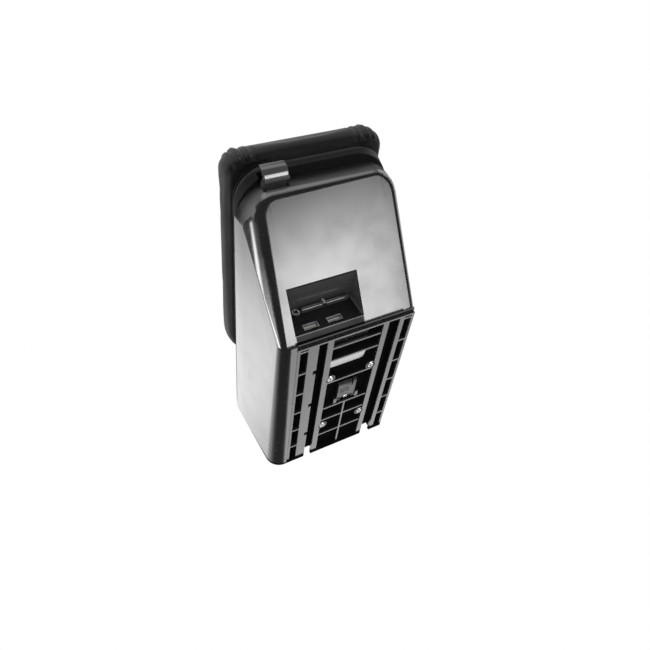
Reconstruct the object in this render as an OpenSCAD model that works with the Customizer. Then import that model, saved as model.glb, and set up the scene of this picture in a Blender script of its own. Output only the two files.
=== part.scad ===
// Centre armrest box for a car: a wedge-shaped storage tub with a padded lid,
// standing on a ribbed slide base with two T-slot rails.
// +Z is up, the front (lid latch and charging recess) faces -Y, the hinge is at +Y.
// The origin is under the middle of the whole box, on the plane of the base ribs.

/* [Overall] */
// full length from the nose of the pad to the rear wall
overall_len = 298; // [285:1:320]
// outer width of the tub at its rim
rim_w = 137.2; // [130:0.2:150]
// height of the tub rim over the base
rim_z = 82; // [76:0.5:90]
// length of the rim from the collar front to the rear wall
rim_len = 284; // [270:1:300]
// full width of the pad
pad_w = 140; // [134:1:156]
// height of the pad top over the base
pad_top_z = 127; // [118:1:136]
// length of the pad
pad_len = 236; // [220:1:250]

/* [Tub] */
// wall thickness of the tub
wall = 3; // [2.4:0.1:4]
// width of the tub just above its lower corner
lower_w = 128; // [122:1:136]
// radius of the lower long corners
lower_r = 14; // [10:0.5:18]
// plan radius of the rim corners
rim_r = 24; // [18:1:28]
// plan radius of the corners at the crease
crease_r = 20; // [14:1:24]
// radius of the foot's corners at the lower end of the slope
foot_r = 11; // [9:0.5:14]
// height of the crease between slope and collar
crease_z = 66.6; // [60:0.2:72]
// length of the flat underside
flat_len = 187.5; // [176:0.5:196]
// height of the bin floor
floor_z = 14; // [13:0.5:18]

/* [Charging recess] */
// width of the recess in the slope
recess_w = 62; // [56:1:68]
// distance of the recess's middle from the centre plane
recess_x = -18; // [-22:1:-12]
// depth position of the module face, measured in front of the flat underside
recess_back = 6.3; // [5.5:0.1:9]
// distance of the recess's top edge in front of the flat underside
recess_top = 38; // [34:0.5:42]
// height of the ceiling's inner edge
recess_ceiling_z = 31.5; // [29:0.5:34]
// spacing of the two charging sockets
socket_pitch = 21.5; // [19:0.5:24]
// height of the sockets' middle
socket_z = 10.6; // [10:0.1:12]

/* [Slide base] */
// width of the slide base
base_w = 112; // [110:1:116]
// distance of the slide base's middle from the centre plane
base_x = 8; // [4:0.5:9]
// height of the slide base
base_h = 11; // [9:0.5:12]
// distance between neighbouring cross ribs
rib_pitch = 29.4; // [27:0.2:31]
// thickness of the ribs
rib_t = 1.8; // [1.4:0.1:2.4]
// width of the left rail opening
slot_left_w = 8; // [7:0.5:9]
// width of the right rail opening
slot_right_w = 11; // [9:0.5:12]
// spacing of the detent notches
notch_pitch = 49.2; // [45:0.2:53]
// radius of a base screw's shank
base_screw_r = 2; // [1.6:0.1:2.2]

/* [Lid and latch] */
// thickness of the lid base
lid_t = 11.6; // [9:0.1:13]
// gap between the rim and the closed lid
lid_gap = 0.4; // [0.3:0.05:0.6]
// radius of the hinge barrel
barrel_r = 4; // [3.6:0.1:4.4]
// radius of the hinge pin
hinge_pin_r = 1.5; // [1.3:0.1:1.8]
// middle of the latch across the width
latch_x = -38; // [-39:0.5:-30]
// width of the latch lever
latch_w = 20; // [17:1:20]
// radial clearance of a running fit
fit_c = 0.05; // [0.02:0.01:0.1]

/* [Hidden] */
$fn = 48;
front_y = -overall_len / 2;
rear_y = overall_len / 2;
rim_front_y = rear_y - rim_len;
rim_mid_y = (rim_front_y + rear_y) / 2;
flat_front_y = rear_y - flat_len;
slope_run = flat_front_y - rim_front_y;
slope_k = crease_z / slope_run;
clear = 0.3;

// charging recess
recess_x0 = recess_x - recess_w / 2;
recess_x1 = recess_x + recess_w / 2;
module_y = flat_front_y - recess_back;
recess_top_y = flat_front_y - recess_top;
module_depth = 11.5;
module_z0 = 5.3;
module_z1 = recess_ceiling_z - clear;
socket_w = 13.1;
socket_h = 5.7;
socket_depth = module_depth - 0.2;
socket_wall = 0.5;
jack_x = recess_x - 20;
jack_z = 27;
jack_r = 3;
bar_r = 1.8;
bar_x0 = jack_x + 4.6;
bar_x1 = recess_x1 - 3.3;
clip_x = recess_x + 5;

// slide base
pocket_top_z = base_h + clear;
step_len = 6.5;
step_h = 4.7;
step_z = 2;
cell_in_x = 46.2;
cell_out_x = 53.4;
lip_h = 2.5;
web_t = 2.4;
wall_t = 2.2;
web_z = base_h - web_t;
left_in_x = -28.5;
left_out_x = left_in_x - slot_left_w;
right_in_x = 30.5;
right_out_x = right_in_x + slot_right_w;
bay_x0 = -22.7;
bay_x1 = 25;
bay_rib_ds = [167.6, 151, 119, 78, 58, 32];
ramp_x1 = 13;
ramp_len = 13;
ramp_y = rear_y - bay_rib_ds[1] + rib_t - 0.1;
channel_t = 2.6;
first_rib_y = rear_y - 6 * rib_pitch - rib_t / 2;
notch_y0 = flat_front_y + 44;
notch_w = 5;
notch_d = 3;
base_screw_xs = [-19.8, 22];
base_screw_ys = [rear_y - 123.4, rear_y - 48.2];
base_head_r = 4;
base_boss_r = 5;
base_screw_len = 10;

// slide lock in the middle bay
lock_y = rear_y - bay_rib_ds[3] - 4.4;
lock_z = 6.2;
lock_pin_r = 1.25;
lock_w = 19;
lock_x = 2;
lock_len = 25;
pin_show = 6.2;
lock_ear_t = 3.4;

// hinge
hinge_y = rear_y - barrel_r;
hinge_z = rim_z + lid_gap + barrel_r - 1;
ear_x = 36;
ear_t = 7.6;
barrel_half = 60;
skin_t = 2.6;
posts = [[rim_w / 2 - 10.5, rim_front_y + 18], [rim_w / 2 - 13, rear_y - 13]];
screw_x = 50;
screw_ys = [front_y + 54, front_y + pad_len - 24];

// lid
lid_z0 = rim_z + lid_gap;
lid_z1 = lid_z0 + lid_t;
lid_front_y = rim_front_y - 9;
lid_rear_y = hinge_y - barrel_r - 1;
board_t = 3;
board_z1 = lid_z1 + board_t;
board_inset = 6;
pad_z0 = lid_z1 + 1;

// latch
latch_y = rim_front_y + 10;
latch_z = lid_z0 - 3.4;
latch_pin_r = 1.25;
latch_ear_t = 3;
strike_r = 1.5;
strike_y = latch_y + 3;
strike_z = latch_z - 5;
strike_half = latch_w / 2 - 3.5;
hook_half = strike_half - strike_r - 0.5;
paddle_y = lid_front_y + 1;

black = [0.05, 0.05, 0.055];
dark = [0.09, 0.09, 0.1];
leather = [0.16, 0.16, 0.17];
steel = [0.72, 0.73, 0.75];
rubber = [0.06, 0.06, 0.06];

// outline of a rounded rectangle from y0 to y1 with its own front and rear radii
function arc_pts(cx, cy, r, a0, n) =
    [for (i = [0:n]) [cx + r * cos(a0 + 90 * i / n), cy + r * sin(a0 + 90 * i / n)]];
function slab_pts(w, y0, y1, rf, rr, n = 8) = concat(
    arc_pts(w / 2 - rr, y1 - rr, rr, 0, n),
    arc_pts(-w / 2 + rr, y1 - rr, rr, 90, n),
    arc_pts(-w / 2 + rf, y0 + rf, rf, 180, n),
    arc_pts(w / 2 - rf, y0 + rf, rf, 270, n));

module slab(w, y0, y1, rf, rr, z0, h) {
    translate([0, 0, z0]) linear_extrude(h) polygon(slab_pts(w, y0, y1, rf, rr));
}

// box between two corners
module block(a, b) {
    translate(a) cube([b[0] - a[0], b[1] - a[1], b[2] - a[2]]);
}

// round bar along X
module x_rod(x0, x1, y, z, r) {
    translate([x0, y, z]) rotate([0, 90, 0]) cylinder(h = x1 - x0, r = r);
}

// profile in the Y-Z plane, drawn out along X
module x_profile(x0, x1) {
    translate([x0, 0, 0]) rotate([90, 0, 90]) linear_extrude(x1 - x0) children();
}

// wedge form of the tub, drawn in by t on every side
module tub_form(t, top) {
    half = lower_w / 2 - lower_r;
    foot_half = lower_w / 2 - foot_r;
    corner_y = flat_front_y + foot_r * 0.32;
    hull() {
        slab(rim_w - 2 * t, rim_front_y + t, rear_y - t, rim_r - t, max(6 - t, 1), top - 0.1, 0.1);
        slab(rim_w - 2.4 - 2 * t, rim_front_y + t, rear_y - t, crease_r - t, max(6 - t, 1),
            crease_z + t * 0.4, 0.1);
        for (s = [-1, 1]) {
            translate([s * half, rear_y - t, lower_r]) rotate([90, 0, 0])
                cylinder(h = 2, r = lower_r - t);
            translate([s * foot_half, corner_y, foot_r]) sphere(r = foot_r - t, $fn = 40);
        }
    }
}

// raised box inside the bin that takes the charging module
module module_box() {
    block([recess_x0 - wall, rim_front_y + 2, floor_z - 2],
        [recess_x1 + wall, module_y + module_depth + clear + wall, recess_ceiling_z + wall]);
}

module recess_cut() {
    x_profile(recess_x0, recess_x1) polygon([
        [recess_top_y, recess_top * slope_k],
        [module_y, recess_ceiling_z],
        [module_y, recess_back * slope_k],
        [module_y - 6, -4],
        [recess_top_y - 14, recess_top * slope_k - 8]]);
}

module tub() {
    color(black) difference() {
        union() {
            difference() {
                tub_form(0, rim_z);
                // bin
                difference() {
                    intersection() {
                        tub_form(wall, rim_z + 1);
                        block([-rim_w, front_y, floor_z], [rim_w, rear_y, rim_z + 2]);
                    }
                    module_box();
                    // corner posts for the bump stops
                    for (s = [-1, 1], p = posts)
                        translate([s * p[0], p[1], floor_z])
                            cylinder(h = rim_z - floor_z - 2.5, r = 5);
                }
            }
            // hinge ears on the rear wall
            for (s = [-1, 1])
                x_profile(s * ear_x - ear_t / 2, s * ear_x + ear_t / 2) union() {
                    translate([hinge_y, hinge_z]) circle(r = barrel_r);
                    polygon([[hinge_y - barrel_r, hinge_z], [hinge_y + barrel_r, hinge_z],
                        [hinge_y + barrel_r, rim_z - 22], [hinge_y + 1, rim_z - 22]]);
                }
        }
        // seat of the slide base
        translate([base_x, 0, 0]) {
            block([-base_w / 2 - 0.2, flat_front_y + step_len, -5],
                [base_w / 2 + 0.2, rear_y + 5, pocket_top_z]);
            block([-base_w / 2 - 0.2, flat_front_y + clear, -5],
                [base_w / 2 + 0.2, rear_y, step_h + clear]);
        }
        recess_cut();
        // seat of the charging module
        block([recess_x0 + 1, module_y - 0.1, module_z0 - clear],
            [recess_x1 - 1, module_y + module_depth + clear, module_z1 + clear]);
        // rim cleared for the hinge barrels
        for (p = [[-barrel_half - 0.5, -ear_x - ear_t / 2], [-ear_x + ear_t / 2, ear_x - ear_t / 2],
                [ear_x + ear_t / 2, barrel_half + 0.5]])
            block([p[0], hinge_y - barrel_r - 0.5, hinge_z - barrel_r - 0.5], [p[1], rear_y + 1, rim_z + 1]);
        // rim notch for the latch arm
        block([latch_x - latch_w / 2 - 0.5, rim_front_y - 2, latch_z - 7.4],
            [latch_x + latch_w / 2 + 0.5, rim_front_y + wall + 3, rim_z + 1]);
        x_rod(-barrel_half - 1, barrel_half + 1, hinge_y, hinge_z, hinge_pin_r + fit_c);
        // holes of the base screws and the module screws
        for (x = base_screw_xs, y = base_screw_ys)
            translate([base_x + x, y, 5]) cylinder(h = floor_z, r = base_screw_r + fit_c);
        for (s = [-1, 1])
            x_rod_y(recess_x + s * 26, module_y + module_depth - 1, module_y + module_depth + wall + 3,
                18, 1.25 + fit_c);
        // holes of the strike's legs
        for (s = [-1, 1])
            x_rod_y(latch_x + s * strike_half, rim_front_y + 0.8, rim_front_y + wall + 2,
                strike_z, strike_r + fit_c);
    }
}

// round bar along Y
module x_rod_y(x, y0, y1, z, r) {
    translate([x, y1, z]) rotate([90, 0, 0]) cylinder(h = y1 - y0, r = r);
}

// one rail before its slot is cut
module rail(x_out, x_in) {
    y0 = flat_front_y + step_len + clear;
    lo = min(x_out, x_in);
    hi = max(x_out, x_in);
    block([lo, y0, 0], [hi, rear_y, web_z + 0.2]);
}

// T-slot that is cut into a rail: the opening between the lips and the channel behind it
module rail_slot(x_out, x0, x1, x_in) {
    y0 = flat_front_y + step_len + clear + rib_t;
    lo = min(x_out, x_in);
    hi = max(x_out, x_in);
    block([min(x0, x1), y0, -1], [max(x0, x1), rear_y + 1, lip_h + 1]);
    block([lo + channel_t, y0, lip_h], [hi - channel_t, rear_y + 1, web_z]);
}

module slide_base() {
    y0 = flat_front_y + 2 * clear;
    yb = flat_front_y + step_len + clear;
    color(black) translate([base_x, 0, 0]) difference() {
        union() {
            // web and front step
            block([-base_w / 2, yb, web_z], [base_w / 2, rear_y, base_h]);
            translate([0, 0, step_z]) linear_extrude(step_h - step_z) polygon(concat(
                [[base_w / 2, yb + 0.1], [-base_w / 2, yb + 0.1]],
                arc_pts(-base_w / 2 + 4, y0 + 4, 4, 180, 8),
                arc_pts(base_w / 2 - 4, y0 + 4, 4, 270, 8)));
            block([-base_w / 2, yb, 0], [base_w / 2, yb + rib_t, web_z + 0.1]);
            // rear wall
            block([-base_w / 2, rear_y - wall_t, 0], [base_w / 2, rear_y, web_z + 0.1]);
            // outer rims
            for (s = [-1, 1])
                block([min(s * base_w / 2, s * cell_out_x), yb, 0],
                    [max(s * base_w / 2, s * cell_out_x), rear_y, web_z + 0.1]);
            // cell ribs beside the rails
            for (s = [-1, 1], k = [0:5])
                block([s * (cell_in_x + cell_out_x) / 2 - 4.1, first_rib_y + k * rib_pitch, 0],
                    [s * (cell_in_x + cell_out_x) / 2 + 4.1, first_rib_y + k * rib_pitch + rib_t, web_z + 0.1]);
            rail(-cell_in_x, bay_x0);
            rail(cell_in_x, bay_x1);
            // cross ribs of the middle bay
            for (d = bay_rib_ds)
                block([bay_x0 - 0.1, rear_y - d, 0.6], [bay_x1 + 0.1, rear_y - d + rib_t, web_z + 0.1]);
            // long rib behind the slide lock
            block([0.2, rear_y - bay_rib_ds[3], 0.6], [0.2 + rib_t, rear_y, web_z + 0.1]);
            // ramps in the middle bay
            x_profile(bay_x0 - 0.1, ramp_x1) polygon([[yb, 1], [yb + ramp_len, 4.4],
                [yb + ramp_len, web_z + 0.1], [yb, web_z + 0.1]]);
            x_profile(bay_x0 - 0.1, ramp_x1) polygon([[ramp_y, 1.2], [ramp_y + ramp_len, 3.6],
                [ramp_y + ramp_len, web_z + 0.1], [ramp_y, web_z + 0.1]]);
            // screw bosses
            for (x = base_screw_xs, y = base_screw_ys)
                translate([x, y, 0.6]) cylinder(h = web_z, r = base_boss_r);
            // ears of the slide lock
            for (s = [-1, 1])
                x_profile(lock_x + s * (lock_w / 2 + clear + lock_ear_t / 2) - lock_ear_t / 2,
                    lock_x + s * (lock_w / 2 + clear + lock_ear_t / 2) + lock_ear_t / 2)
                    polygon([[lock_y + 4.5, 1.2], [lock_y - 3.4, 1.2], [lock_y - 9, web_z + 0.1],
                        [lock_y + 4.5, web_z + 0.1]]);
        }
        rail_slot(-cell_in_x, left_out_x, left_in_x, bay_x0);
        rail_slot(cell_in_x, right_in_x, right_out_x, bay_x1);
        // detent notches on the outer lip of the left rail
        for (k = [0:2])
            block([left_out_x - notch_d, notch_y0 + k * notch_pitch - notch_w / 2, -1],
                [left_out_x + 0.1, notch_y0 + k * notch_pitch + notch_w / 2, lip_h + 0.1]);
        // screw holes with sunk seats for the heads
        for (x = base_screw_xs, y = base_screw_ys) translate([x, y, 0]) {
            translate([0, 0, -1]) cylinder(h = base_h + 2, r = base_screw_r + fit_c);
            translate([0, 0, -1]) cylinder(h = 3.6, r = base_head_r + 0.2);
        }
        x_rod(lock_x - lock_w / 2 - 6, lock_x + lock_w / 2 + 6, lock_y, lock_z - 1.8, lock_pin_r + fit_c);
    }
}

module base_screws() {
    color(steel) for (x = base_screw_xs, y = base_screw_ys) translate([base_x + x, y, 0])
        difference() {
            union() {
                translate([0, 0, 2.6]) cylinder(h = base_screw_len, r = base_screw_r);
                translate([0, 0, 1.2]) cylinder(h = 1.4, r = base_head_r);
                translate([0, 0, 0.3]) cylinder(h = 0.9, r1 = base_head_r - 1.2, r2 = base_head_r);
            }
            // cross recess
            for (a = [0, 90]) rotate(a) translate([-2.2, -0.45, -0.1]) cube([4.4, 0.9, 1.8]);
        }
}

module lock_pawl() {
    z = lock_z - 1.8;
    color(dark) translate([base_x, 0, 0]) difference() {
        union() {
            x_rod(lock_x - lock_w / 2, lock_x + lock_w / 2, lock_y, z, 2.9);
            x_profile(lock_x - lock_w / 2, lock_x + lock_w / 2) polygon([[lock_y, z - 2.2],
                [lock_y - lock_len + 3, z - 2.4], [lock_y - lock_len, z - 1],
                [lock_y - lock_len, z + 0.6], [lock_y - lock_len + 4, z + 1.4], [lock_y, z + 2.2]]);
        }
        x_rod(lock_x - lock_w, lock_x + lock_w, lock_y, z, lock_pin_r + fit_c);
        // hub open below the pin
        block([lock_x - pin_show, lock_y - 1.2, z - 4], [lock_x + pin_show, lock_y + 4, z]);
        // slot for the spring
        block([lock_x - 2.4, lock_y - 3.7, z - 4], [lock_x + 2.4, lock_y + 3.7, z + 4]);
        // slit and thumb grooves
        block([lock_x + 4.6, lock_y - lock_len - 1, z - 4], [lock_x + 5.8, lock_y - lock_len + 9, z + 4]);
        for (k = [0:2]) block([lock_x - 8, lock_y - 10.5 - 2.6 * k, z - 3],
            [lock_x + 3, lock_y - 9.5 - 2.6 * k, z - 2]);
    }
}

module lock_pin() {
    color(steel) translate([base_x, 0, 0]) x_rod(lock_x - lock_w / 2 - lock_ear_t, lock_x + lock_w / 2 + lock_ear_t,
        lock_y, lock_z - 1.8, lock_pin_r);
}

// torsion spring: coil round the pin with two straight legs
module lock_spring() {
    z = lock_z - 1.8;
    color(steel) translate([base_x, 0, 0]) difference() {
        union() {
            x_rod(lock_x - 2, lock_x + 2, lock_y, z, 2.3);
            block([lock_x - 2, lock_y + 0.2, z + 1.5], [lock_x - 1.2, lock_y + 3.1, z + 2.3]);
            block([lock_x + 1.2, lock_y - 3.1, z + 1.5], [lock_x + 2, lock_y + 0.2, z + 2.3]);
        }
        x_rod(lock_x - 3, lock_x + 3, lock_y, z, lock_pin_r + 0.2);
    }
}

// hole for one socket in the module
module socket_hole(x) {
    block([x - socket_w / 2 - 0.05, module_y - 1, socket_z - socket_h / 2 - 0.05],
        [x + socket_w / 2 + 0.05, module_y + socket_depth - 0.5, socket_z + socket_h / 2 + 0.05]);
}

socket_x0 = recess_x - 14.8;
socket_x1 = socket_x0 + socket_pitch;

module usb_housing() {
    color(dark) difference() {
        block([recess_x0 + 1 + clear, module_y, module_z0],
            [recess_x1 - 1 - clear, module_y + module_depth, module_z1]);
        socket_hole(socket_x0);
        socket_hole(socket_x1);
        // sunk lower field round the sockets
        block([recess_x0 + 4, module_y - 1, module_z0 + 1.4], [recess_x1 - 4, module_y + 0.8, 16.6]);
        // groove of the bar
        block([bar_x0 - clear, module_y - 1, jack_z - bar_r - clear],
            [bar_x1 + clear, module_y + 2, jack_z + bar_r + clear]);
        x_rod_y(jack_x, module_y - 1, module_y + 9, jack_z, jack_r + fit_c);
        for (s = [-1, 1])
            x_rod_y(recess_x + s * 26, module_y + module_depth - 8, module_y + module_depth + 1,
                18, 1.25 + fit_c);
    }
}

module usb_shell(x) {
    y0 = module_y - 0.2;
    color(steel) difference() {
        block([x - socket_w / 2, y0, socket_z - socket_h / 2],
            [x + socket_w / 2, module_y + socket_depth - 0.6, socket_z + socket_h / 2]);
        block([x - socket_w / 2 + socket_wall, y0 - 1, socket_z - socket_h / 2 + socket_wall],
            [x + socket_w / 2 - socket_wall, module_y + socket_depth - 1.2, socket_z + socket_h / 2 - socket_wall]);
    }
}

module usb_shell_left() {
    usb_shell(socket_x0);
}

module usb_shell_right() {
    usb_shell(socket_x1);
}

module usb_tongues() {
    color([0.85, 0.85, 0.83]) for (x = [socket_x0, socket_x1])
        block([x - 5.6, module_y + 2, socket_z + 0.1], [x + 5.6, module_y + socket_depth - 1.2, socket_z + 1.9]);
}

module jack_head() {
    color(steel) difference() {
        union() {
            x_rod_y(jack_x, module_y - 1.4, module_y + 8.8, jack_z, jack_r);
            x_rod_y(jack_x, module_y - 1.4, module_y - 0.1, jack_z, jack_r + 0.5);
        }
        x_rod_y(jack_x, module_y - 2, module_y + 6, jack_z, 1.75);
    }
}

module module_bar() {
    color([0.3, 0.3, 0.32]) union() {
        block([bar_x0, module_y - 2.2, jack_z - bar_r], [bar_x1, module_y + 1.9, jack_z + bar_r]);
        x_rod(bar_x0, bar_x1, module_y - 2.2, jack_z, bar_r);
    }
}

module bar_clip() {
    color(steel) difference() {
        block([clip_x - 1.2, module_y - bar_r - 3.1, jack_z - bar_r - 0.9],
            [clip_x + 1.2, module_y, jack_z + bar_r + 0.9]);
        block([clip_x - 2, module_y - bar_r - 2.3, jack_z - bar_r - 0.1],
            [clip_x + 2, module_y + 1, jack_z + bar_r + 0.1]);
    }
}

module module_screws() {
    color(steel) for (s = [-1, 1]) {
        y1 = module_y + module_depth + clear + wall;
        x_rod_y(recess_x + s * 26, module_y + module_depth - 7, y1 + 0.1, 18, 1.25);
        x_rod_y(recess_x + s * 26, y1, y1 + 1.6, 18, 2.6);
    }
}

// ear of the latch on the lid's underside
module latch_ear(x0, x1) {
    x_profile(x0, x1) polygon([[latch_y - 5, lid_z0 + 0.5], [latch_y - 3.4, latch_z - 3],
        [latch_y + 3.4, latch_z - 3], [latch_y + 5, lid_z0 + 0.5]]);
}

module lid_base() {
    color(black) difference() {
        union() {
            difference() {
                slab(rim_w, lid_front_y, lid_rear_y, rim_r + 2, 3, lid_z0, lid_t);
                // hollow underside
                slab(rim_w - 2 * wall - 6, rim_front_y + wall + 14, lid_rear_y - 6, 10, 4, lid_z0 - 1,
                    lid_t - skin_t + 1);
            }
            // locating rib that drops inside the rim
            difference() {
                slab(rim_w - 2 * wall - 2.4, rim_front_y + wall + 20, rear_y - 21, 12, 4, lid_z0 - 5,
                    lid_t - skin_t + 5.5);
                slab(rim_w - 2 * wall - 6.4, rim_front_y + wall + 22, rear_y - 23, 10, 4, lid_z0 - 6,
                    lid_t - skin_t + 8);
            }
            // stiffening ribs under the lid
            for (x = [-36, 0, 36]) block([x - 1, rim_front_y + wall + 14, lid_z0 - 2],
                [x + 1, rear_y - 22, lid_z0 + lid_t - 1]);
            for (y = [rim_mid_y - 70, rim_mid_y - 10, rim_mid_y + 50]) block([-rim_w / 2 + 8, y - 1, lid_z0 - 2],
                [rim_w / 2 - 8, y + 1, lid_z0 + lid_t - 1]);
            // hinge barrels and their webs
            for (p = [[-barrel_half, -ear_x - ear_t / 2 - 0.4], [-ear_x + ear_t / 2 + 0.4, ear_x - ear_t / 2 - 0.4],
                    [ear_x + ear_t / 2 + 0.4, barrel_half]]) {
                x_rod(p[0], p[1], hinge_y, hinge_z, barrel_r);
                block([p[0], lid_rear_y - 1, lid_z0 + 0.6], [p[1], hinge_y, lid_z0 + 6]);
            }
            latch_ear(latch_x - latch_w / 2 - 0.4 - latch_ear_t, latch_x - latch_w / 2 - 0.4);
            latch_ear(latch_x + latch_w / 2 + 0.4, latch_x + latch_w / 2 + 0.4 + latch_ear_t);
        }
        x_rod(-barrel_half - 1, barrel_half + 1, hinge_y, hinge_z, hinge_pin_r + fit_c);
        x_rod(latch_x - latch_w, latch_x + latch_w, latch_y, latch_z, latch_pin_r + fit_c);
        // pocket over the latch lever
        block([latch_x - latch_w / 2 - 0.4, lid_front_y - 1, lid_z0 - 1],
            [latch_x + latch_w / 2 + 0.4, latch_y + 7, lid_z0 + 5]);
        // holes of the board screws
        for (s = [-1, 1], y = screw_ys)
            translate([s * screw_x, y, lid_z0 - 3]) cylinder(h = lid_t + 6, r = 1.75 + fit_c);
    }
}

module pad_board() {
    color(dark) difference() {
        slab(pad_w - 2 * board_inset, front_y + board_inset, front_y + pad_len - board_inset,
            26, 40, lid_z1, board_t);
        for (s = [-1, 1], y = screw_ys)
            translate([s * screw_x, y, lid_z1 - 1]) cylinder(h = board_t + 2, r = 1.75 + fit_c);
    }
}

module board_screws() {
    z = lid_z1 - skin_t;
    color(steel) for (s = [-1, 1], y = screw_ys) translate([s * screw_x, y, 0]) {
        translate([0, 0, z - 1]) cylinder(h = board_t + skin_t, r = 1.75);
        translate([0, 0, z - 2.1]) cylinder(h = 2, r = 3.2);
    }
}

module lid_pad() {
    y1 = front_y + pad_len;
    color(leather) difference() {
        hull() {
            slab(pad_w - 5, front_y + 4, y1 - 3, 28, 42, pad_z0, 0.1);
            slab(pad_w, front_y, y1, 32, 45, pad_z0 + 11, 5);
            slab(pad_w - 5, front_y + 3, y1 - 5, 32, 45, pad_top_z - 8, 0.1);
            slab(pad_w - 16, front_y + 9, y1 - 16, 30, 45, pad_top_z - 2.4, 0.1);
            slab(pad_w - 60, front_y + 36, y1 - 50, 30, 42, pad_top_z - 0.1, 0.1);
        }
        slab(pad_w - 2 * board_inset + 0.6, front_y + board_inset - clear,
            front_y + pad_len - board_inset + clear, 26.3, 40.3, lid_z1 - 1, board_t + 1 + clear);
    }
}

module latch_lever() {
    color(dark) difference() {
        union() {
            x_profile(latch_x - latch_w / 2, latch_x + latch_w / 2) union() {
                translate([latch_y, latch_z]) circle(r = 3.1);
                // arm and finger paddle
                polygon([[latch_y, latch_z + 3], [latch_y - 8, latch_z + 1.6],
                    [paddle_y + 4, latch_z + 0.2], [paddle_y, latch_z - 2.6],
                    [paddle_y, latch_z - 6.6], [paddle_y + 1.8, latch_z - 7.2],
                    [paddle_y + 3, latch_z - 4.4], [paddle_y + 6, latch_z - 3],
                    [latch_y - 4, latch_z - 2.4], [latch_y, latch_z - 3]]);
            }
            // hook under the strike, between its legs
            x_profile(latch_x - hook_half, latch_x + hook_half) polygon([
                [latch_y - 3.1, latch_z], [latch_y - 3.4, latch_z - 10], [latch_y + 3.5, latch_z - 10],
                [latch_y + 3.5, latch_z - 6.9], [latch_y - 0.2, latch_z - 6.8], [latch_y + 1, latch_z]]);
        }
        x_rod(latch_x - latch_w, latch_x + latch_w, latch_y, latch_z, latch_pin_r + fit_c);
        // slot for the spring
        block([latch_x - 3, latch_y - 3.3, latch_z - 3.4], [latch_x + 3, latch_y + 3.4, latch_z + 4]);
    }
}

module latch_pin() {
    color(steel) x_rod(latch_x - latch_w / 2 - 0.4 - latch_ear_t, latch_x + latch_w / 2 + 0.4 + latch_ear_t,
        latch_y, latch_z, latch_pin_r);
}

module latch_spring() {
    color(steel) difference() {
        union() {
            x_rod(latch_x - 2.6, latch_x + 2.6, latch_y, latch_z, 2.3);
            block([latch_x - 2.6, latch_y - 0.2, latch_z + 1.5], [latch_x - 1.8, latch_y + 6, latch_z + 2.3]);
            block([latch_x + 1.8, latch_y - 3.2, latch_z - 2.3], [latch_x + 2.6, latch_y + 0.2, latch_z - 1.5]);
        }
        x_rod(latch_x - 4, latch_x + 4, latch_y, latch_z, latch_pin_r + 0.2);
    }
}

// steel staple that the latch hooks under
module latch_strike() {
    y0 = rim_front_y + 1;
    color(steel) union() {
        x_rod(latch_x - strike_half, latch_x + strike_half, strike_y, strike_z, strike_r);
        for (s = [-1, 1]) {
            x_rod_y(latch_x + s * strike_half, y0, strike_y, strike_z, strike_r);
            translate([latch_x + s * strike_half, strike_y, strike_z]) sphere(r = strike_r, $fn = 24);
        }
    }
}

module hinge_pin() {
    color(steel) x_rod(-barrel_half, barrel_half, hinge_y, hinge_z, hinge_pin_r);
}

module bump_stops() {
    color(rubber) for (s = [-1, 1], p = posts)
        translate([s * p[0], p[1], rim_z - 2.5]) cylinder(h = 2.6, r = 3.5);
}

module bin_mat() {
    color(rubber) slab(lower_w - 2 * wall - 26, flat_front_y + 32, rear_y - 8, 5, 5, floor_z, 1.6);
}

tub();
slide_base();
base_screws();
lock_pawl();
lock_pin();
lock_spring();
usb_housing();
usb_shell_left();
usb_shell_right();
usb_tongues();
jack_head();
module_bar();
bar_clip();
module_screws();
lid_base();
pad_board();
board_screws();
lid_pad();
latch_lever();
latch_pin();
latch_spring();
latch_strike();
hinge_pin();
bump_stops();
bin_mat();
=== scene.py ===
# Car centre armrest: a wedge-shaped storage tub on a ribbed slide base, under a padded lid.
import math

import bmesh
import bpy
import numpy as np
from mathutils import Matrix, Vector
from mathutils.bvhtree import BVHTree


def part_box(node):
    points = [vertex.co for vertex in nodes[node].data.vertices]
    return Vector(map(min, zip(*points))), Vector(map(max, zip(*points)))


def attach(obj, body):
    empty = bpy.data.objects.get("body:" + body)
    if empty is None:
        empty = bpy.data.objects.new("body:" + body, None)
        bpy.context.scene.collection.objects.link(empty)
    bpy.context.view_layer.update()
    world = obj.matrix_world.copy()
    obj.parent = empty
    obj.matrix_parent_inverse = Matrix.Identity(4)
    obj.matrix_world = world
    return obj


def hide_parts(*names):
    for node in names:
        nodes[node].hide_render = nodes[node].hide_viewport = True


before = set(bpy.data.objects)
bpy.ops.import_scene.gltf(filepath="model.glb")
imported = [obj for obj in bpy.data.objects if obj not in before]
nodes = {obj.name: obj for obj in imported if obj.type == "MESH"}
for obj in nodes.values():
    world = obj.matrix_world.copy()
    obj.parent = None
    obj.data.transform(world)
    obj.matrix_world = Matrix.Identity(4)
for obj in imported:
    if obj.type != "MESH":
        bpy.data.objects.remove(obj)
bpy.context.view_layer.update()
scene = bpy.context.scene
scene.view_settings.view_transform = "Standard"


# Camera: looks up at the ribbed underside from below, in front and to the left of the box.
# The three directions are the picture's right, its down and the line of sight.
view_right = Vector((0.8824, -0.1012, -0.4595)).normalized()
view_down = Vector((-0.2848, 0.6626, -0.6927))
view_down = (view_down - view_down.dot(view_right) * view_right).normalized()
sight = view_right.cross(view_down)
camera_place = Vector((-0.1970, -0.3919, -0.2531))
focal_px, picture_px, sensor_mm = 587.5, 650, 36.0

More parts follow.
